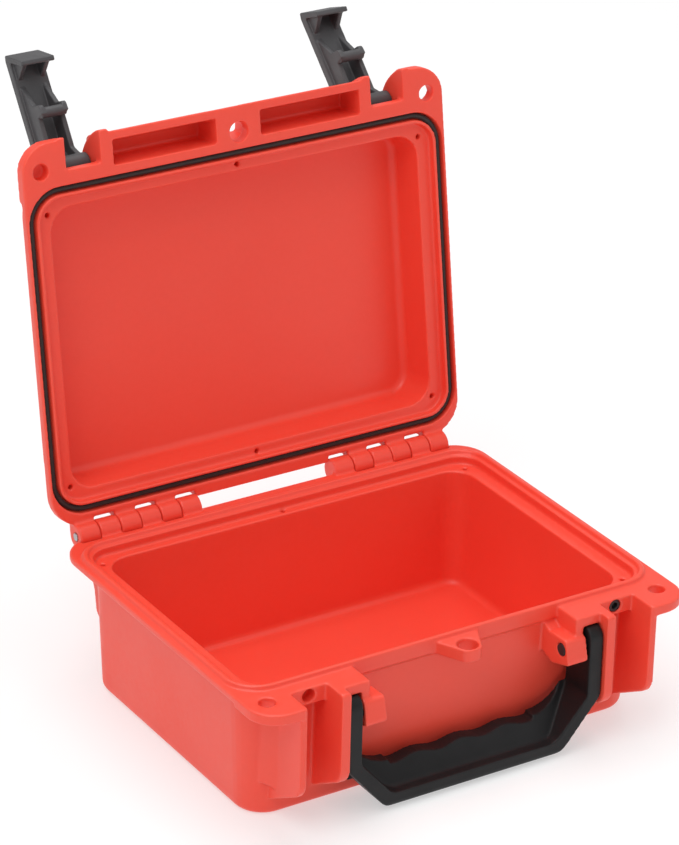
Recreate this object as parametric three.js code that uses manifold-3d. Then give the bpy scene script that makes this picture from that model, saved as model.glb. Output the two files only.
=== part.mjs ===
import * as THREE from 'three';
import { mergeVertices } from 'three/addons/utils/BufferGeometryUtils.js';
import Module from 'manifold-3d';

const wasm = await Module();
wasm.setup();

// ---------------------------------------------------------------- sizes, mm
// x across the case, y from front (-) to back (+), z up. The hinge axis is the
// local origin: y = 0 and z = 0 is the rim plane where the halves meet.

// overall
const WIDTH = 230;            // over the rim flange
const DEPTH = 168.4;          // hinge axis to the front face of the rim
const BASE_H = 68;            // rim plane to the underside
const LID_H = 28.3;           // rim plane to the lid's top
const NOSE = 23;              // padlock lobes ahead of the rim
const PART_GAP = 0.3;         // daylight between the closed halves

// base walls
const RIM_INSET = 5.1;        // flange edge to the rim band
const WALL_INSET = 8;         // flange edge to the outer wall
const RIM_BACK = 11.5;        // hinge axis to the back of the rim band
const RIM_BAND = 6.3;         // height of the rim band
const FLANGE_T = 3.4;         // base flange thickness
const FLANGE_BACK = 3;        // hinge axis to the flange's back edge
const CORNER_R = 17;
const DRAFT = 0.04;
const BOTTOM_R = 3.8;
const FLOOR_T = 3;
const FLOOR_R = 3.4;

// sealing rim
const SEAL_INSET = 4.2;       // flange edge to the seal's centre line
const SEAL_BACK = 12.3;       // hinge axis to the seal's centre line
const SEAL_FRONT = 1.4;       // rim face to the seal's centre line
const SEAL_R = 15;
const SEAL_D = 2.8;
const TONGUE_W = 2.6;
const TONGUE_H = 2;
const GROOVE_W = 3.8;
const SEAL_GAP = 0.2;

// inner ledge
const LEDGE_Z = 4.4;          // step below (base) or above (lid) the rim plane
const LEDGE_RIB = 1.7;        // rib between seal and ledge
const LEDGE_SIDE_W = 6.8;
const LEDGE_FRONT_W = 5.6;
const LEDGE_BACK_W = 4.8;
const INNER_R = 12;
const INNER_DRAFT = 0.05;
const SCREW_D = 2.6;
const SCREW_DEEP = 4.5;

// lid
const LID_EDGE = 1;           // lid flange stands in from the base flange
const LID_FLANGE_T = 4.8;
const LID_RIM_T = 7.2;
const LID_WALL = 9;
const LID_BACK = 4.6;
const LID_PANEL = 3.3;
const LID_TOP_R = 7;
const LOBE_T = 6.8;

// hinge
const KNUCKLES = 6;
const KNUCKLE_PITCH = 11;
const KNUCKLE_GAP = 0.4;
const KNUCKLE_R = 6;
const KNUCKLE_OUT = WIDTH / 2 - 11.8;
const PIN_D = 4;
const PIN_FIT = 0.08;
const SCOOP = 0.6;
const LID_SCOOP = 1.8;
const GUSSET_Z = 38;

// padlock lobes
const LOBE_W = 23;
const LOBE_IN = WIDTH / 2 - LOBE_W;
const LOBE_R = 14;
const LOBE_PLATE = 5;
const LOBE_RIB = 3.5;         // rib under each base lobe
const FIN_DEEP = 44;          // depth of the front ribs at their front edge
const FIN_SLOPE = 0.56;       // and their fall towards the wall
const LOCK_X = WIDTH / 2 - 10.3;
const LOCK_Y = DEPTH + 8.8;
const LOCK_D = 7.8;
const LOCK_WEB = 1;           // web left in the lid's left padlock hole
const MID_LOCK_D = 10;
const MID_LUG_W = 19;
const MID_LUG_OUT = 15;
const MID_LUG_T = 6.5;

// latches
const LATCH_W = 17.3;
const LATCH_SIDE = 0.4;
const LATCH_X = LOBE_IN - LATCH_W / 2 - LATCH_SIDE - 0.45;
const BAND_OUT = DEPTH + 7.6;
const BAND_H = 8.4;
const PIVOT_Y = DEPTH + 5.1;
const PIVOT_Z = 15;
const LATCH_BARREL = 5;
const LATCH_LONG = 60;
const LATCH_IN = 12.4;
const LATCH_T = 4.1;
const LATCH_PIN = 4;
const HOOK_D = 5.2;
const HOOK_GAP = 0.9;
const HOOK_DOWN = PIVOT_Z + BAND_H + HOOK_D / 2 + HOOK_GAP;
const HOOK_BACK = 1;
const CHEEK_T = 2.4;
const CHEEK_IN = 1.6;         // cheeks stand in from the latch's sides
const EAR_T = 4.4;

// handle
const SIDE_GAP = 0.7;
const BRACKET_RIB = 4.7;
const ARM_OUT = LATCH_X - LATCH_W / 2 - LATCH_SIDE - BRACKET_RIB - SIDE_GAP;
const ARM_W = 7;
const ARM_FRONT = 5.8;        // handle pin to the front of the strap
const ARM_BACK = 12.8;        // handle pin to the back of the strap
const EYE_TOP = 9;
const HANDLE_Y = DEPTH + 13.3;
const HANDLE_Z = 14.5;
const HANDLE_PIN = 6;
const GRIP_H = 17;
const GRIP_LOW = BASE_H - 1.5;
const GRIP_BAND = 7;          // flat band along the front of the grip
const GRIP_SLOPE = 1.6;       // rise of the grip behind it
const GRIP_BLEND = 22;
const FINGER = 24;
const LUG_W = 11;
const LUG_OUT = ARM_OUT - ARM_W - 1.5;
const LUG_IN = LUG_OUT - LUG_W;
const BRACKET_IN = LUG_OUT - 4.3;
const BRACKET_OUT = DEPTH + 15.1;
const RIB_OUT = DEPTH + 21.1;

// purge plug
const PLUG_D = 6;
const PLUG_HOLE = 6.4;
const PLUG_SOCKET = 3.4;      // over the corners of its hexagon
const PLUG_Z = 3.9;
const PLUG_DEEP = 6.2;

// rest pose, degrees open from closed
const LID_OPEN = 98.6;
const LATCH_OPEN = { left: 116.5, right: 127.5 };

const CENTRE_Y = (DEPTH + 15.6) / 2;    // hinge axis behind the part's origin

// ---------------------------------------------------------------- helpers
const { Vector2, Matrix4, Vector3 } = THREE;

function solid(geometry) {
  geometry.deleteAttribute('normal');
  geometry.deleteAttribute('uv');
  const g = mergeVertices(geometry, 1e-5);
  return new wasm.Manifold(new wasm.Mesh({
    numProp: 3,
    vertProperties: new Float32Array(g.attributes.position.array),
    triVerts: new Uint32Array(g.index.array),
  }));
}

const join = (...list) => wasm.Manifold.union(list.flat(3));
const cut = (body, ...list) => body.subtract(join(...list));
const mirrored = (make) => [-1, 1].map(make);

function along(geometry, u, v, w) {
  return geometry.applyMatrix4(new Matrix4().makeBasis(
    new Vector3(...u),
    new Vector3(...v),
    new Vector3(...w),
  ));
}

function extruded(shape, depth, seg) {
  const curveSegments = seg;
  return new THREE.ExtrudeGeometry(shape, { depth, bevelEnabled: false, curveSegments });
}

const prismZ = (shape, z0, z1, seg = 3) =>
  solid(extruded(shape, z1 - z0, seg).translate(0, 0, z0));

function prismX(shape, x0, x1, seg = 3) {
  const lo = Math.min(x0, x1);
  const hi = Math.max(x0, x1);
  const g = extruded(shape, hi - lo, seg);
  return solid(along(g, [0, 1, 0], [0, 0, 1], [1, 0, 0]).translate(lo, 0, 0));
}

function prismY(shape, y0, y1, seg = 3) {
  const g = extruded(shape, y1 - y0, seg);
  return solid(along(g, [1, 0, 0], [0, 0, 1], [0, -1, 0]).translate(0, y1, 0));
}

function box(x0, x1, y0, y1, z0, z1) {
  const g = new THREE.BoxGeometry(Math.abs(x1 - x0), y1 - y0, z1 - z0);
  return solid(g.translate((x0 + x1) / 2, (y0 + y1) / 2, (z0 + z1) / 2));
}

function rodX(x0, x1, y, z, r, seg = 32) {
  const g = new THREE.CylinderGeometry(r, r, Math.abs(x1 - x0), seg);
  return solid(g.rotateZ(Math.PI / 2).translate((x0 + x1) / 2, y, z));
}

function rodZ(x, y, z0, z1, r, seg = 32) {
  const g = new THREE.CylinderGeometry(r, r, z1 - z0, seg);
  return solid(g.rotateX(Math.PI / 2).translate(x, y, (z0 + z1) / 2));
}

function rodY(x, z, y0, y1, r, seg = 24) {
  const g = new THREE.CylinderGeometry(r, r, y1 - y0, seg);
  return solid(g.translate(x, (y0 + y1) / 2, z));
}

// closed outline through points [x, y, corner radius]
function outline(points) {
  const shape = new THREE.Shape();
  const n = points.length;
  points.forEach(([x, y, r = 0], i) => {
    const [px, py] = points[(i + n - 1) % n];
    const [qx, qy] = points[(i + 1) % n];
    const a = new Vector2(px - x, py - y).normalize();
    const b = new Vector2(qx - x, qy - y).normalize();
    const half = r > 0 ? Math.acos(a.dot(b)) / 2 : 0;
    const t = r > 0 ? r / Math.tan(half) : 0;
    const start = [x + a.x * t, y + a.y * t];
    if (i === 0) shape.moveTo(...start);
    else shape.lineTo(...start);
    if (r === 0) return;
    const mid = a.clone().add(b).normalize().multiplyScalar(r / Math.sin(half));
    const cx = x + mid.x;
    const cy = y + mid.y;
    const from = Math.atan2(start[1] - cy, start[0] - cx);
    const to = Math.atan2(y + b.y * t - cy, x + b.x * t - cx);
    shape.absarc(cx, cy, r, from, to, a.x * b.y - a.y * b.x > 0);
  });
  shape.closePath();
  return shape;
}

const frameOf = ({ x, y0, y1, r }) =>
  outline([[-x, y0, r], [x, y0, r], [x, y1, r], [-x, y1, r]]);

const inset = ({ x, y0, y1, r }, d) => ({ x: x - d, y0: y0 + d, y1: y1 - d, r: r - d });

// rounded rectangle stacked through layers [z, inset]
function stacked(rect, layers, seg = 3) {
  const steps = layers.length - 1;
  const shape = frameOf(rect);
  const bevelEnabled = false;
  const opts = { depth: steps, steps, bevelEnabled, curveSegments: seg };
  const g = new THREE.ExtrudeGeometry(shape, opts);
  const p = g.attributes.position;
  const { clamp } = THREE.MathUtils;
  for (let i = 0; i < p.count; i += 1) {
    const [z, d] = layers[Math.round(p.getZ(i))];
    const cx = clamp(p.getX(i), rect.r - rect.x, rect.x - rect.r);
    const cy = clamp(p.getY(i), rect.y0 + rect.r, rect.y1 - rect.r);
    const nx = p.getX(i) - cx;
    const ny = p.getY(i) - cy;
    const k = 1 - d / Math.hypot(nx, ny);
    p.setXYZ(i, cx + nx * k, cy + ny * k, z);
  }
  return solid(g);
}

// drafted wall from zOpen to zShut that ends in a round edge of radius r
function drafted(rect, zOpen, zShut, slope, r, seg = 3) {
  const dir = Math.sign(zShut - zOpen);
  const run = Math.abs(zShut - zOpen) - r;
  const layers = [[zOpen, 0]];
  const arcs = 4;
  for (let i = 0; i <= arcs; i += 1) {
    const a = (i / arcs) * Math.PI / 2;
    const z = zOpen + dir * (run + r * Math.sin(a));
    layers.push([z, slope * run + r * (1 - Math.cos(a))]);
  }
  if (dir < 0) layers.reverse();
  return stacked(rect, layers, seg);
}

const degrees = THREE.MathUtils.degToRad;

// ---------------------------------------------------------------- shared outlines
const HALF = WIDTH / 2;
const seal = {
  x: HALF - SEAL_INSET,
  y0: SEAL_FRONT - DEPTH,
  y1: -SEAL_BACK,
  r: SEAL_R,
};
const recess = inset(seal, GROOVE_W / 2 + LEDGE_RIB);
const cavity = {
  x: recess.x - LEDGE_SIDE_W,
  y0: recess.y0 + LEDGE_FRONT_W,
  y1: recess.y1 - LEDGE_BACK_W,
  r: INNER_R,
};

function knuckle(i) {
  const out = KNUCKLE_OUT - i * KNUCKLE_PITCH;
  return [out - KNUCKLE_PITCH + KNUCKLE_GAP, out];
}

const lidKnuckles = [0, 2, 4].map(knuckle);
const baseKnuckles = [1, 3, 5].map(knuckle);
const hingeIn = KNUCKLE_OUT - KNUCKLES * KNUCKLE_PITCH + KNUCKLE_GAP;

// rim plate with the two padlock lobes; edge = inset of the sides and noses
function rimPlate(edge, back) {
  const x = HALF - edge;
  const nose = edge - DEPTH - NOSE;
  const waist = -DEPTH;
  return outline([
    [-x, -back, CORNER_R],
    [-x, nose, LOBE_R],
    [-LOBE_IN, nose, 2],
    [-LOBE_IN, waist],
    [LOBE_IN, waist],
    [LOBE_IN, nose, 2],
    [x, nose, LOBE_R],
    [x, -back, CORNER_R],
  ]);
}

const lockHole = (s, z0, z1) => rodZ(s * LOCK_X, -LOCK_Y, z0, z1, LOCK_D / 2, 28);

const screwX = cavity.x + 0.9;
const screwSpots = [
  [-screwX, cavity.y1 - 2.4],
  [screwX, cavity.y1 - 2.4],
  [0, cavity.y1 + 3],
  [-screwX, cavity.y0 + 2.4],
  [screwX, cavity.y0 + 2.4],
  [0, cavity.y0 - 3],
];

const earIn = LATCH_X - LATCH_W / 2 - LATCH_SIDE;
const earOut = LATCH_X + LATCH_W / 2 + LATCH_SIDE;

// corner lobe ahead of the rim, in plan
const lobePlan = (s, xIn, yBack, edge) => outline([
  [s * xIn, yBack],
  [s * (HALF - edge), yBack],
  [s * (HALF - edge), edge - DEPTH - NOSE, LOBE_R],
  [s * xIn, edge - DEPTH - NOSE, 2],
]);

// ---------------------------------------------------------------- base shell
function baseSide(s) {
  const x = (v) => s * v;
  const ribIn = ARM_OUT + SIDE_GAP;
  const wallY = -DEPTH + 6;
  const parts = [];

  // front rib that falls from its front edge back to the wall
  const fin = (out) => outline([
    [wallY, 0],
    [-out, 0, 1.5],
    [-out, -FIN_DEEP, 9],
    [wallY, -FIN_DEEP - FIN_SLOPE * (wallY + out)],
  ]);

  // bar the latch hooks under
  parts.push(box(x(earIn - 1), x(LOBE_IN + 1), -BAND_OUT, wallY, -BAND_H, 0));
  parts.push(box(x(LATCH_X - 3), x(LATCH_X - 1), -DEPTH - 1.2, wallY, -25, -BAND_H + 1));

  // handle bracket: roof, cheek rib and pin lug
  parts.push(box(x(BRACKET_IN), x(ribIn + 1), -BRACKET_OUT, wallY, -5, 0));
  parts.push(box(x(BRACKET_IN), x(LUG_OUT), -BRACKET_OUT, wallY, -10, 0));
  parts.push(prismX(fin(RIB_OUT), x(ribIn), x(earIn)));
  const lug = outline([
    [wallY, -5],
    [-DEPTH - 3.6, -9.2],
    [-DEPTH - 16.9, -8.6, 2],
    [-DEPTH - 19.8, -20.5, 2],
    [-DEPTH - 6.3, -24.6, 2],
    [wallY, -20],
  ]);
  parts.push(prismX(lug, x(LUG_IN), x(LUG_OUT)));

  // padlock lobe: a plate carried by one rib that flares into the wall
  parts.push(prismZ(lobePlan(s, LOBE_IN, -DEPTH + 2, 0), -LOBE_PLATE, 0, 4));
  parts.push(prismX(fin(DEPTH + NOSE - 0.6), x(LOBE_IN), x(LOBE_IN + LOBE_RIB)));
  const flare = outline([
    [x(LOBE_IN + 0.5), wallY],
    [x(LOBE_IN + 7.5), wallY],
    [x(LOBE_IN + 6), -DEPTH + 2.2],
    [x(LOBE_IN + LOBE_RIB - 0.4), -DEPTH - 4.5],
    [x(LOBE_IN + 0.5), -DEPTH - 4.5],
  ]);
  parts.push(prismZ(flare, -FIN_DEEP - 6, -1));
  return parts;
}

function baseHinge(s) {
  const parts = [];
  const gusset = outline([
    [-22, -1],
    [-1, -1],
    [-1, -6.5],
    [-9.5, -24, 6],
    [-11.5, -GUSSET_Z + 3],
    [-17, -GUSSET_Z - 2],
    [-22, -GUSSET_Z - 2],
  ]);
  parts.push(prismX(gusset, s * hingeIn, s * (HALF - 16)));
  baseKnuckles.forEach(([a, b]) => {
    parts.push(rodX(s * a, s * b, 0, 0, KNUCKLE_R, 28));
    parts.push(box(s * a, s * b, -RIM_BACK - 1, 0, -KNUCKLE_R, -0.2));
  });
  return parts;
}

const hingeScoops = (ranges, r) => mirrored((s) => ranges.map(([a, b]) =>
  rodX(s * (a - KNUCKLE_GAP / 2 - 0.02), s * (b + KNUCKLE_GAP / 2 + 0.02), 0, 0, r, 28)));

const hingeBores = () => mirrored((s) =>
  rodX(s * (hingeIn + 2), s * (KNUCKLE_OUT + 5), 0, 0, PIN_D / 2 + PIN_FIT, 24));

function makeBase() {
  const wall = {
    x: HALF - WALL_INSET,
    y0: -DEPTH + 1.7,
    y1: -RIM_BACK - 3,
    r: CORNER_R,
  };
  const band = {
    x: HALF - RIM_INSET,
    y0: -DEPTH,
    y1: -RIM_BACK,
    r: CORNER_R - 1,
  };
  const midLug = outline([
    [-MID_LUG_W / 2 - 6, -DEPTH + 3],
    [-MID_LUG_W / 2 - 2, -DEPTH, 2],
    [-4, -DEPTH - MID_LUG_OUT, 4],
    [4, -DEPTH - MID_LUG_OUT, 4],
    [MID_LUG_W / 2 + 2, -DEPTH, 2],
    [MID_LUG_W / 2 + 6, -DEPTH + 3],
  ]);
  const body = join(
    drafted(wall, -RIM_BAND + 1, -BASE_H, DRAFT, BOTTOM_R, 4),
    stacked(band, [[-RIM_BAND, 0.8], [-RIM_BAND + 0.8, 0], [0, 0]], 4),
    prismZ(rimPlate(0, FLANGE_BACK), -FLANGE_T, 0, 4),
    prismZ(midLug, -MID_LUG_T, 0),
    mirrored(baseSide),
    mirrored(baseHinge),
  );
  const tongueTop = [[-1, 0], [TONGUE_H - 0.6, 0], [TONGUE_H, 0.5]];
  const tongue = cut(
    stacked(inset(seal, -TONGUE_W / 2), tongueTop, 4),
    stacked(inset(seal, TONGUE_W / 2), [[-2, 0], [TONGUE_H - 0.6, 0], [3, -1]], 4),
  );
  const inside = [
    stacked(recess, [[-LEDGE_Z, 0], [5, 0]], 4),
    drafted(cavity, 1, FLOOR_T - BASE_H, INNER_DRAFT, FLOOR_R, 3),
    screwSpots.map(([x, y]) =>
      rodZ(x, y, -LEDGE_Z - SCREW_DEEP, 1, SCREW_D / 2, 12)),
  ];
  const plugHoles = mirrored((s) =>
    rodY(s * LATCH_X, -PLUG_Z, -BAND_OUT - 1, PLUG_DEEP + 0.3 - BAND_OUT, PLUG_HOLE / 2));
  const handleBores = mirrored((s) => rodX(
    s * (LUG_IN - 1),
    s * (ARM_OUT + SIDE_GAP + 3.2),
    -HANDLE_Y,
    -HANDLE_Z,
    HANDLE_PIN / 2 + PIN_FIT,
    24,
  ));
  return cut(
    join(cut(body, inside), tongue),
    mirrored((s) => lockHole(s, -LOBE_PLATE - 1, 1)),
    rodZ(0, -LOCK_Y, -20, 1, MID_LOCK_D / 2, 28),
    hingeScoops(lidKnuckles, KNUCKLE_R + SCOOP),
    hingeBores(),
    handleBores,
    plugHoles,
  );
}

// ---------------------------------------------------------------- lid shell
function lidSide(s) {
  const x = (v) => s * v;
  const wallY = -DEPTH + 5;
  const brow = new THREE.SplineCurve([
    new Vector2(-DEPTH - NOSE, PART_GAP),
    new Vector2(-DEPTH - 22.2, 4.2),
    new Vector2(-DEPTH - 19.3, 9.8),
    new Vector2(-DEPTH - 14.6, 15.6),
    new Vector2(-DEPTH - 9.3, 19.6),
    new Vector2(-DEPTH - 3.8, 21.9),
    new Vector2(wallY, 23),
  ]);
  const ear = outline([
    [wallY, PART_GAP],
    ...brow.getPoints(18).map((p) => [p.x, p.y]),
  ]);
  const notch = box(x(earIn - 1), x(earOut + 1), -BAND_OUT, wallY, PART_GAP, 5);
  return [
    notch,
    prismX(ear, x(earIn - EAR_T), x(earIn)),
    prismX(ear, x(earOut), x(earOut + EAR_T - 0.6)),
  ];
}

function lidHinge(s) {
  return lidKnuckles.map(([a, b]) => [
    rodX(s * a, s * b, 0, 0, KNUCKLE_R, 28),
    box(s * a, s * b, -RIM_BACK - 1, 0, PART_GAP, KNUCKLE_R),
  ]);
}

function makeLid() {
  const wall = {
    x: HALF - LID_WALL,
    y0: -DEPTH + 0.6,
    y1: -RIM_BACK - 3,
    r: CORNER_R,
  };
  const rim = {
    x: HALF - LID_EDGE,
    y0: -DEPTH - 3,
    y1: -LID_BACK,
    r: CORNER_R,
  };
  const apronX = earIn - EAR_T + 1;
  const wallY = -DEPTH + 5;
  const apron = outline([
    [wallY, PART_GAP],
    [-DEPTH - 21.6, PART_GAP],
    [-DEPTH - 16, 21, 3],
    [wallY, 24.5],
  ]);
  const pocket = outline([
    [-DEPTH - 5.2, -1],
    [-DEPTH - 17.6, -1],
    [-DEPTH - 13.2, 17.5, 1.5],
    [-DEPTH - 5.2, 18.5, 1.5],
  ]);
  const ahead = -DEPTH - NOSE - 9;
  const midHalf = MID_LUG_W / 2 + 0.5;
  const rimLayers = [
    [PART_GAP, 0],
    [LID_FLANGE_T, 0],
    [LID_RIM_T, 2],
  ];
  const body = join(
    drafted(wall, 3, LID_H, DRAFT, LID_TOP_R, 4),
    stacked(rim, rimLayers, 4),
    prismZ(rimPlate(LID_EDGE, LID_BACK), PART_GAP, LID_FLANGE_T, 4),
    mirrored((s) => prismZ(lobePlan(s, earOut, wallY, LID_EDGE), PART_GAP, LOBE_T, 4)),
    prismX(apron, -apronX, apronX),
    mirrored(lidSide),
    mirrored(lidHinge),
  );
  const grooveTop = TONGUE_H + SEAL_GAP + SEAL_D + 0.1;
  const groove = cut(
    stacked(inset(seal, -GROOVE_W / 2), [[-1, 0], [grooveTop, 0]], 4),
    stacked(inset(seal, GROOVE_W / 2), [[-2, 0], [grooveTop + 1, 0]], 4),
  );
  const pivots = mirrored((s) => [
    rodX(s * (earIn - EAR_T + 1.2), s * (earOut + EAR_T), -PIVOT_Y, PIVOT_Z,
      LATCH_PIN / 2 + PIN_FIT, 24),
    rodX(s * earIn, s * earOut, -PIVOT_Y, PIVOT_Z, LATCH_BARREL + 0.8, 28),
    box(s * earIn, s * earOut, ahead, -BAND_OUT + 2, 5, 30),
  ]);
  const insides = [
    stacked(recess, [[-5, 0], [LEDGE_Z, 0]], 4),
    drafted(cavity, -1, LID_H - LID_PANEL, INNER_DRAFT, FLOOR_R, 3),
    screwSpots.map(([x, y]) =>
      rodZ(x, y, -1, LEDGE_Z + SCREW_DEEP, SCREW_D / 2, 12)),
  ];
  return cut(
    body,
    insides,
    groove,
    mirrored((s) => prismX(pocket, s * (midHalf + 2), s * (earIn - EAR_T - 2.2))),
    box(-midHalf, midHalf, ahead, -DEPTH - 3.6, PART_GAP + MID_LUG_T, 30),
    mirrored((s) => box(s * earIn, s * earOut, ahead, -BAND_OUT, -1, 12)),
    lockHole(1, -1, 30),
    lockHole(-1, -1, LOBE_T - LOCK_WEB),
    rodZ(0, -LOCK_Y, -1, 30, MID_LOCK_D / 2, 28),
    hingeScoops(baseKnuckles, KNUCKLE_R + LID_SCOOP),
    hingeBores(),
    pivots,
  );
}

function makeSeal() {
  const r = SEAL_D / 2;
  const z = TONGUE_H + SEAL_GAP + r;
  const angles = [-75, -45, -15, 15, 45, 75].map(degrees);
  const outer = angles.map((a) => [z + r * Math.sin(a), r - r * Math.cos(a)]);
  const inner = angles.map((a) => [z + r * Math.sin(a), r + r * Math.cos(a)]);
  inner.unshift([z - 3, inner[0][1]]);
  inner.push([z + 3, inner[inner.length - 1][1]]);
  const ring = inset(seal, -r);
  return cut(stacked(ring, outer, 4), stacked(ring, inner, 4));
}

// ---------------------------------------------------------------- latches
// built about the pivot, hanging straight down as when closed
function makeLatch() {
  const w = LATCH_W / 2;
  const out = LATCH_IN + LATCH_T;
  const skin = outline([
    [0, LATCH_BARREL],
    [-4, 4.2, 3],
    [-12.2, -2.2, 4],
    [-out, -9.5, 5],
    [-out, 3 - LATCH_LONG, 2.5],
    [-out + 1.2, -LATCH_LONG, 1],
    [-0.5, -52.6],
    [-0.8, -50, 0.8],
    [-LATCH_IN, -55.4, 1],
    [-LATCH_IN, -12, 4],
    [-6.5, -5, 2],
    [0, -4],
  ]);
  const cheek = outline([
    [0, LATCH_BARREL - 0.5],
    [-4, 3.8, 3],
    [-LATCH_IN + 0.7, -2.5],
    [-LATCH_IN - 0.5, -8],
    [-LATCH_IN - 0.5, -44],
    [-5.5, -HOOK_DOWN - 4.7, 2],
    [1.2, -HOOK_DOWN - 3.5, 2],
    [1.7, -HOOK_DOWN + 1],
    [-3.3, -HOOK_DOWN + 1.6],
    [-3.6, -9, 2],
    [1, -4.5],
    [4, 0],
  ]);
  const tab = outline([
    [-LATCH_IN - 0.5, -46],
    [-LATCH_IN - 0.5, -57.5],
    [-0.7, -52],
  ]);
  const c = w - CHEEK_IN;
  const cheeks = mirrored((s) => [
    prismX(cheek, s * (c - CHEEK_T), s * c),
    prismX(tab, s * (c - CHEEK_T), s * c),
  ]);
  return cut(
    join(
      rodX(-w, w, 0, 0, LATCH_BARREL, 28),
      prismX(skin, -w, w),
      rodX(0.6 - c, c - 0.6, -HOOK_BACK, -HOOK_DOWN, HOOK_D / 2, 20),
      cheeks,
    ),
    rodX(-w - 1, w + 1, 0, 0, LATCH_PIN / 2 + PIN_FIT, 24),
  );
}

// ---------------------------------------------------------------- handle
// built about its pivot line, hanging down
function makeHandle() {
  const low = HANDLE_Z - GRIP_LOW;
  const top = low + GRIP_H;
  const inner = ARM_OUT - ARM_W;
  const tall = EYE_TOP + 1;
  const half = [
    [ARM_OUT, tall],
    [ARM_OUT, low + 25, 6],
    [ARM_OUT - 21, low, 10],
  ];
  const halfIn = [
    [inner, tall],
    [inner, low + 26.5, 5],
    [ARM_OUT - 24, low + GRIP_BAND, 8],
  ];
  const flip = (points) => points.map(([x, z, r]) => [-x, z, r]).reverse();
  const backIn = [...flip(halfIn).reverse(), ...[...halfIn].reverse()];
  const humps = [];
  for (let i = -16; i <= 16; i += 1) {
    const x = (i / 16) * 2 * FINGER;
    humps.push([x, top - 0.9 + 0.9 * Math.cos((2 * Math.PI * x) / FINGER)]);
  }
  const strap = outline([...half, ...flip(half), ...backIn]);
  const grip = outline([
    ...half,
    ...flip(half),
    [-inner, tall],
    [-inner, top + 1, 6],
    ...humps,
    [inner, top + 1, 6],
    [inner, tall],
  ]);
  const rise = outline([
    [-ARM_FRONT, low - 1],
    [ARM_BACK + 1, low - 1],
    [ARM_BACK + 1, low + GRIP_BAND + GRIP_SLOPE * (ARM_BACK + 1)],
    [0, low + GRIP_BAND, 3],
    [-ARM_FRONT, low + GRIP_BAND],
  ]);
  const side = outline([
    [-ARM_FRONT, EYE_TOP, 5.4],
    [ARM_FRONT, EYE_TOP, 5.4],
    [ARM_FRONT, -5, 4],
    [ARM_BACK, -12, 4],
    [ARM_BACK, low, 3],
    [-ARM_FRONT, low, 3],
  ]);
  const blend = (s) => {
    const x = inner - GRIP_BLEND;
    const z = top + GRIP_BLEND;
    const corner = [[s * (inner + 1), top - 3], [s * (inner + 1), z]];
    for (let i = 0; i <= 8; i += 1) {
      const a = (i / 8) * Math.PI / 2;
      corner.push([s * (x + GRIP_BLEND * Math.cos(a)), z - GRIP_BLEND * Math.sin(a)]);
    }
    corner.push([s * x, top - 3]);
    return prismY(outline(corner), 3, ARM_BACK);
  };
  const filled = join(prismY(grip, -ARM_FRONT, ARM_BACK), mirrored(blend));
  const body = join(
    prismY(strap, -ARM_FRONT, ARM_BACK),
    filled.intersect(prismX(rise, -HALF, HALF)),
  );
  return cut(
    body.intersect(prismX(side, -HALF, HALF)),
    mirrored((s) =>
      rodX(s * (inner - 1), s * (ARM_OUT + 1), 0, 0, HANDLE_PIN / 2 + PIN_FIT, 24)),
  );
}

// ---------------------------------------------------------------- assembly
const looks = {
  shell: { color: 0xfe5f46, roughness: 0.55, metalness: 0 },
  seal: { color: 0x1d1a19, roughness: 0.7, metalness: 0 },
  latch: { color: 0x555355, roughness: 0.6, metalness: 0 },
  handle: { color: 0x232325, roughness: 0.6, metalness: 0 },
  steel: { color: 0x9a9a9c, roughness: 0.35, metalness: 1 },
  plug: { color: 0x18181a, roughness: 0.5, metalness: 0 },
};

function mesh(name, body, look) {
  const { vertProperties, triVerts } = body.getMesh();
  const g = new THREE.BufferGeometry();
  g.setAttribute('position', new THREE.BufferAttribute(vertProperties, 3));
  g.setIndex(new THREE.BufferAttribute(triVerts, 1));
  const m = new THREE.Mesh(g, new THREE.MeshStandardMaterial(looks[look]));
  m.name = name;
  return m;
}

const sides = { left: -1, right: 1 };

const group = new THREE.Group();
group.name = 'first_aid_case';
const frame = new THREE.Group();
frame.position.set(0, CENTRE_Y, BASE_H);
group.add(frame);

frame.add(mesh('base_shell', makeBase(), 'shell'));
Object.entries(sides).forEach(([side, s]) => {
  const pin = rodX(s * (hingeIn + 2.2), s * (KNUCKLE_OUT + 0.3), 0, 0, PIN_D / 2, 24);
  frame.add(mesh(`hinge_pin_${side}`, pin, 'steel'));
  const bolt = rodX(s * LUG_IN, s * (ARM_OUT + SIDE_GAP + 3), -HANDLE_Y, -HANDLE_Z,
    HANDLE_PIN / 2, 24);
  frame.add(mesh(`handle_pin_${side}`, bolt, 'plug'));
});
const plug = cut(
  rodY(LATCH_X, -PLUG_Z, 0.5 - BAND_OUT, PLUG_DEEP - BAND_OUT, PLUG_D / 2),
  rodY(LATCH_X, -PLUG_Z, -BAND_OUT, 3 - BAND_OUT, PLUG_SOCKET / 2, 6),
);
frame.add(mesh('purge_plug', plug, 'plug'));

const handle = mesh('handle', makeHandle(), 'handle');
handle.position.set(0, -HANDLE_Y, -HANDLE_Z);
frame.add(handle);

const lid = new THREE.Group();
lid.rotation.x = -degrees(LID_OPEN);
frame.add(lid);
lid.add(mesh('lid_shell', makeLid(), 'shell'));
lid.add(mesh('lid_seal', makeSeal(), 'seal'));

Object.entries(sides).forEach(([side, s]) => {
  const pin = rodX(s * (earIn - EAR_T + 1.4), s * (earOut + EAR_T - 0.9), -PIVOT_Y,
    PIVOT_Z, LATCH_PIN / 2, 24);
  lid.add(mesh(`latch_pin_${side}`, pin, 'steel'));
  const turn = new THREE.Group();
  turn.position.set(s * LATCH_X, -PIVOT_Y, PIVOT_Z);
  turn.rotation.x = -degrees(LATCH_OPEN[side]);
  turn.add(mesh(`latch_${side}`, makeLatch(), 'latch'));
  lid.add(turn);
});

export default group;
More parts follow.
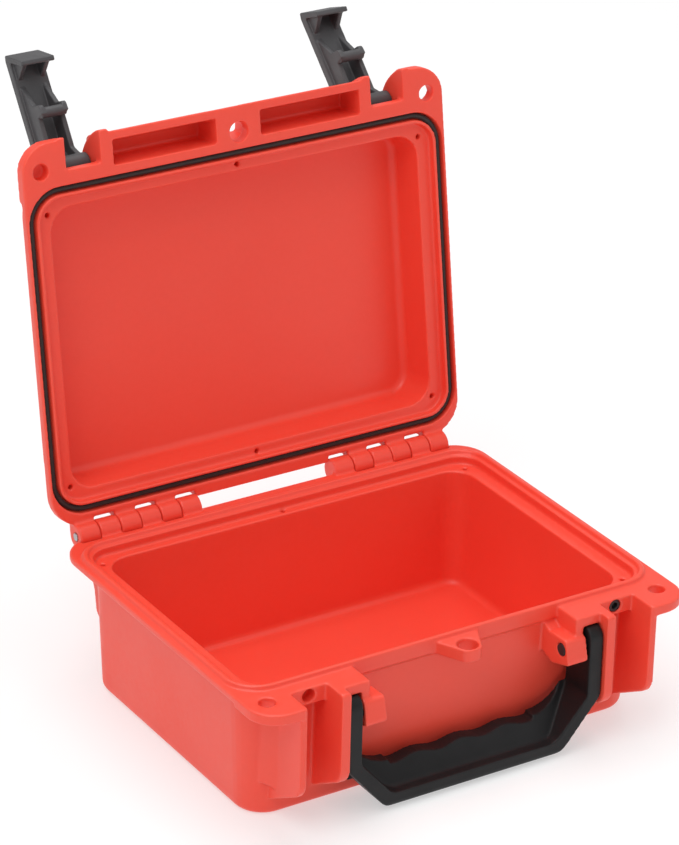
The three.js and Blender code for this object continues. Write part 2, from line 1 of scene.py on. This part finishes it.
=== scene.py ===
"""First aid case, open, on a pale floor: materials and rounded meshes on the CAD pieces."""
import math

import bpy
from mathutils import Matrix, Vector

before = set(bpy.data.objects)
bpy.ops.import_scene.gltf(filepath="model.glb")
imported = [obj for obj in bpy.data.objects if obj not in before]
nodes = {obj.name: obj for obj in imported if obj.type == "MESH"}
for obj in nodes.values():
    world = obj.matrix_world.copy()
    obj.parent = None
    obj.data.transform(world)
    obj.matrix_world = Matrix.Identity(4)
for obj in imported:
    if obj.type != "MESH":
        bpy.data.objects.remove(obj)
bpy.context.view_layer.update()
MM = 0.001

# ------------------------------------------------------------------ sizes of the finish
SHELL_STEP = 0.62 * MM                 # remesh steps
HANDLE_STEP = 0.5 * MM
LATCH_STEP = 0.33 * MM
SHELL_ROUNDS = 3                       # passes of smoothing
HANDLE_ROUNDS = 8
LATCH_ROUNDS = 4
STEEL_EDGE = 0.3 * MM                  # bevels on pins and plugs
PLASTIC_EDGE = 0.4 * MM
SHARP = math.radians(28)               # edges steeper than this are bevelled
WELD = 0.004 * MM
FLOOR_HALF = 6                         # metres
WORLD_LIGHT = 0.5
AIM = (0, 0, 0.1)                      # what the lights point at

# ------------------------------------------------------------------ camera
CAMERA_AT = Vector((-0.8521, -1.3106, 0.8987))
CAMERA_TURN = math.radians(32.524)     # from +Y towards +X
CAMERA_DOWN = math.radians(25.839)
CAMERA_ROLL = math.radians(1.326)
LENS = 162.2                           # mm on a 36 mm frame height


def add_camera():
    away = Vector((
        math.sin(CAMERA_TURN) * math.cos(CAMERA_DOWN),
        math.cos(CAMERA_TURN) * math.cos(CAMERA_DOWN),
        -math.sin(CAMERA_DOWN),
    ))
    level = away.cross(Vector((0, 0, 1))).normalized()
    raised = level.cross(away)
    right = math.cos(CAMERA_ROLL) * level + math.sin(CAMERA_ROLL) * raised
    up = math.cos(CAMERA_ROLL) * raised - math.sin(CAMERA_ROLL) * level
    data = bpy.data.cameras.new("camera")
    data.lens = LENS
    data.sensor_width = 36
    data.clip_end = 20
    camera = bpy.data.objects.new("camera", data)
    turn = Matrix((right, up, -away)).transposed().to_4x4()
    camera.matrix_world = Matrix.Translation(CAMERA_AT) @ turn
    bpy.context.scene.collection.objects.link(camera)
    bpy.context.scene.camera = camera


# ------------------------------------------------------------------ materials
class Nodes:
    """A material's node tree with short calls for what the materials here use."""

    def __init__(self, name):
        self.material = bpy.data.materials.new(name)
        self.material.use_nodes = True
        self.tree = self.material.node_tree
        self.shader = self.tree.nodes["Principled BSDF"]
        self.place = self.add("ShaderNodeTexCoord").outputs["Object"]

    def add(self, kind, **settings):
        node = self.tree.nodes.new(kind)
        for key, value in settings.items():
            setattr(node, key, value)
        return node

    def link(self, output, socket):
        self.tree.links.new(output, socket)

    def noise(self, scale, detail=3.0, roughness=0.5, stretch=None):
        node = self.add("ShaderNodeTexNoise")
        node.inputs["Scale"].default_value = scale
        node.inputs["Detail"].default_value = detail
        node.inputs["Roughness"].default_value = roughness
        source = self.place
        if stretch:
            turn = self.add("ShaderNodeMapping")
            turn.inputs["Scale"].default_value = stretch
            self.link(source, turn.inputs["Vector"])
            source = turn.outputs["Vector"]
        self.link(source, node.inputs["Vector"])
        return node.outputs["Fac"]

    def cells(self, scale):
        node = self.add("ShaderNodeTexVoronoi")
        node.inputs["Scale"].default_value = scale
        self.link(self.place, node.inputs["Vector"])
        return node.outputs["Distance"]

    def spread(self, value, low, high, start=0.3, end=0.7):
        node = self.add("ShaderNodeMapRange")
        node.inputs["From Min"].default_value = start
        node.inputs["From Max"].default_value = end
        node.inputs["To Min"].default_value = low
        node.inputs["To Max"].default_value = high
        self.link(value, node.inputs["Value"])
        return node.outputs["Result"]

    def mix(self, factor, first, second):
        node = self.add("ShaderNodeMix", data_type="RGBA")
        for socket, value in ((node.inputs[6], first), (node.inputs[7], second)):
            if isinstance(value, tuple):
                socket.default_value = (*value, 1)
            else:
                self.link(value, socket)
        self.link(factor, node.inputs[0])
        return node.outputs[2]

    def math(self, operation, first, second):
        node = self.add("ShaderNodeMath", operation=operation)
        for socket, value in zip(node.inputs, (first, second)):
            if isinstance(value, (int, float)):
                socket.default_value = value
            else:
                self.link(value, socket)
        return node.outputs[0]

    def edges(self, start=0.52, end=0.6):
        """1 on sharp outer edges, 0 on flats; the materials lighten these edges as a
        painted highlight.
        """
        geometry = self.add("ShaderNodeNewGeometry")
        return self.spread(geometry.outputs["Pointiness"], 0, 1, start, end)

    def bump(self, heights):
        """heights: list of (value, strength, distance)."""
        last = None
        for value, strength, distance in heights:
            node = self.add("ShaderNodeBump")
            node.inputs["Strength"].default_value = strength
            node.inputs["Distance"].default_value = distance
            self.link(value, node.inputs["Height"])
            if last is not None:
                self.link(last, node.inputs["Normal"])
            last = node.outputs["Normal"]
        self.link(last, self.shader.inputs["Normal"])


def shell_material():
    n = Nodes("shell_plastic")
    cloudy = n.noise(9, 3, 0.55)
    streaks = n.noise(14, 4, 0.6, stretch=(0.35, 1.6, 1.0))
    fleck = n.noise(420, 2, 0.5)
    base = n.mix(n.spread(cloudy, 0, 1), (0.88, 0.074, 0.042), (0.91, 0.082, 0.047))
    base = n.mix(n.spread(streaks, 0, 0.35), base, (0.84, 0.065, 0.038))
    base = n.mix(n.spread(fleck, 0, 0.12), base, (0.94, 0.11, 0.08))
    # paler pink on sharp outer edges: painted edge highlight
    base = n.mix(n.math("MULTIPLY", n.edges(), 0.45), base, (0.97, 0.15, 0.10))
    n.link(base, n.shader.inputs["Base Color"])
    gloss = n.spread(n.noise(26, 4, 0.6), 0.33, 0.44)
    gloss = n.math("ADD", gloss, n.spread(fleck, -0.03, 0.05))
    n.link(gloss, n.shader.inputs["Roughness"])
    n.shader.inputs["Specular IOR Level"].default_value = 0.42
    n.shader.inputs["Subsurface Weight"].default_value = 0.18
    n.shader.inputs["Subsurface Radius"].default_value = (1.0, 0.22, 0.12)
    n.shader.inputs["Subsurface Scale"].default_value = 0.004
    n.bump([
        (n.noise(1500, 2, 0.6), 0.10, 0.00012),
        (n.noise(60, 3, 0.5), 0.10, 0.0006),
    ])
    return n.material


def latch_material():
    n = Nodes("latch_plastic")
    cloudy = n.noise(40, 3, 0.5)
    scuffs = n.noise(120, 5, 0.7, stretch=(1.0, 0.25, 1.0))
    base = n.mix(n.spread(cloudy, 0, 1), (0.055, 0.053, 0.056), (0.072, 0.070, 0.074))
    # paler grey on sharp outer edges: painted edge highlight
    base = n.mix(n.math("MULTIPLY", n.edges(), 0.5), base, (0.11, 0.108, 0.11))
    base = n.mix(n.spread(scuffs, 0, 0.3, 0.55, 0.8), base, (0.085, 0.083, 0.085))
    n.link(base, n.shader.inputs["Base Color"])
    n.link(n.spread(scuffs, 0.42, 0.6), n.shader.inputs["Roughness"])
    n.bump([
        (n.noise(2200, 2, 0.6), 0.16, 0.0001),
        (n.noise(90, 2, 0.5), 0.08, 0.0004),
    ])
    return n.material


def handle_material():
    n = Nodes("handle_plastic")
    cloudy = n.noise(30, 3, 0.5)
    grain = n.cells(1500)
    base = n.mix(n.spread(cloudy, 0, 1), (0.006, 0.006, 0.0065), (0.011, 0.011, 0.012))
    # lighter on sharp outer edges: painted edge highlight
    base = n.mix(n.math("MULTIPLY", n.edges(), 0.5), base, (0.035, 0.035, 0.037))
    n.link(base, n.shader.inputs["Base Color"])
    n.link(n.spread(n.noise(70, 4, 0.6), 0.42, 0.58), n.shader.inputs["Roughness"])
    n.shader.inputs["Specular IOR Level"].default_value = 0.28
    n.bump([
        (grain, 0.22, 0.00012),
        (n.noise(80, 2, 0.5), 0.08, 0.0005),
    ])
    return n.material


def seal_material():
    n = Nodes("seal_rubber")
    dust = n.noise(160, 5, 0.65)
    base = n.mix(n.spread(dust, 0, 1), (0.012, 0.010, 0.0095), (0.030, 0.026, 0.024))
    n.link(base, n.shader.inputs["Base Color"])
    n.link(n.spread(dust, 0.5, 0.72), n.shader.inputs["Roughness"])
    n.shader.inputs["Sheen Weight"].default_value = 0.08
    n.bump([(n.noise(900, 3, 0.6), 0.2, 0.0001)])
    return n.material


def steel_material():
    n = Nodes("pin_steel")
    drawn = n.noise(60, 4, 0.6, stretch=(0.05, 8, 8))
    base = n.mix(n.spread(drawn, 0, 1), (0.36, 0.36, 0.37), (0.52, 0.52, 0.53))
    n.link(base, n.shader.inputs["Base Color"])
    n.shader.inputs["Metallic"].default_value = 1
    n.link(n.spread(drawn, 0.26, 0.44), n.shader.inputs["Roughness"])
    n.bump([(drawn, 0.12, 0.00005)])
    return n.material


def plug_material():
    n = Nodes("plug_plastic")
    grain = n.noise(700, 3, 0.6)
    base = n.mix(n.spread(grain, 0, 1), (0.010, 0.010, 0.011), (0.022, 0.022, 0.024))
    n.link(base, n.shader.inputs["Base Color"])
    n.link(n.spread(grain, 0.36, 0.5), n.shader.inputs["Roughness"])
    n.bump([(grain, 0.15, 0.0001)])
    return n.material


def floor_material():
    n = Nodes("studio_floor")
    n.link(n.mix(n.noise(6, 2, 0.5), (0.49, 0.49, 0.49), (0.51, 0.51, 0.51)),
           n.shader.inputs["Base Color"])
    n.shader.inputs["Emission Color"].default_value = (1, 1, 1, 1)
    n.shader.inputs["Emission Strength"].default_value = 0.5
    n.shader.inputs["Roughness"].default_value = 0.6
    n.shader.inputs["Specular IOR Level"].default_value = 0.2
    return n.material


# ------------------------------------------------------------------ finish of the pieces
def paint(obj, material):
    obj.data.materials.clear()
    obj.data.materials.append(material)


def smooth(obj):
    for polygon in obj.data.polygons:
        polygon.use_smooth = True
    normals = obj.modifiers.new("normals", "WEIGHTED_NORMAL")
    normals.keep_sharp = True
    normals.weight = 80


def dress(obj, material, edge=0):
    """Material, rounded edges and smooth shading on a simple CAD piece."""
    paint(obj, material)
    if edge:
        weld = obj.modifiers.new("weld", "WELD")
        weld.merge_threshold = WELD
        bevel = obj.modifiers.new("edges", "BEVEL")
        bevel.width = edge
        bevel.segments = 2
        bevel.limit_method = "ANGLE"
        bevel.angle_limit = SHARP
    smooth(obj)


def moulded(obj, material, voxel, rounds):
    """A CAD piece remeshed finely and rounded all over, as a small moulding is."""
    paint(obj, material)
    remesh = obj.modifiers.new("remesh", "REMESH")
    remesh.mode = "VOXEL"
    remesh.voxel_size = voxel
    remesh.use_smooth_shade = True
    soften = obj.modifiers.new("soften", "SMOOTH")
    soften.factor = 0.5
    soften.iterations = rounds


# ------------------------------------------------------------------ studio
def add_floor():
    data = bpy.data.meshes.new("floor")
    far = FLOOR_HALF
    corners = [(-far, -far, 0), (far, -far, 0), (far, far, 0), (-far, far, 0)]
    data.from_pydata(corners, [], [(0, 1, 2, 3)])
    floor = bpy.data.objects.new("floor", data)
    data.materials.append(floor_material())
    bpy.context.scene.collection.objects.link(floor)


def add_light(name, at, size, power):
    data = bpy.data.lights.new(name, "AREA")
    data.size = size
    data.energy = power
    light = bpy.data.objects.new(name, data)
    light.location = at
    light.rotation_euler = (Vector(AIM) - Vector(at)).to_track_quat("-Z", "Y").to_euler()
    bpy.context.scene.collection.objects.link(light)


def add_studio():
    add_floor()
    world = bpy.data.worlds.new("studio")
    world.use_nodes = True
    background = world.node_tree.nodes["Background"]
    background.inputs["Color"].default_value = (1, 1, 1, 1)
    background.inputs["Strength"].default_value = WORLD_LIGHT
    bpy.context.scene.world = world
    add_light("key", (-1.2, -0.6, 1.9), 1.2, 15)
    add_light("fill", (1.6, -1.4, 1.3), 1.6, 5)
    add_light("top", (0.1, 0.5, 2.2), 1.6, 24)
    settings = bpy.context.scene.view_settings
    settings.view_transform = "Standard"
    settings.look = "None"


# ------------------------------------------------------------------ make the scene
add_camera()
add_studio()

shell = shell_material()
latch = latch_material()
handle = handle_material()
seal = seal_material()
steel = steel_material()
plug = plug_material()

moulded(nodes["base_shell"], shell, SHELL_STEP, SHELL_ROUNDS)
moulded(nodes["lid_shell"], shell, SHELL_STEP, SHELL_ROUNDS)
dress(nodes["lid_seal"], seal)
for side in ("left", "right"):
    moulded(nodes[f"latch_{side}"], latch, LATCH_STEP, LATCH_ROUNDS)
    dress(nodes[f"latch_pin_{side}"], steel, STEEL_EDGE)
    dress(nodes[f"hinge_pin_{side}"], steel, STEEL_EDGE)
    dress(nodes[f"handle_pin_{side}"], plug, PLASTIC_EDGE)
dress(nodes["purge_plug"], plug, PLASTIC_EDGE)
moulded(nodes["handle"], handle, HANDLE_STEP, HANDLE_ROUNDS)
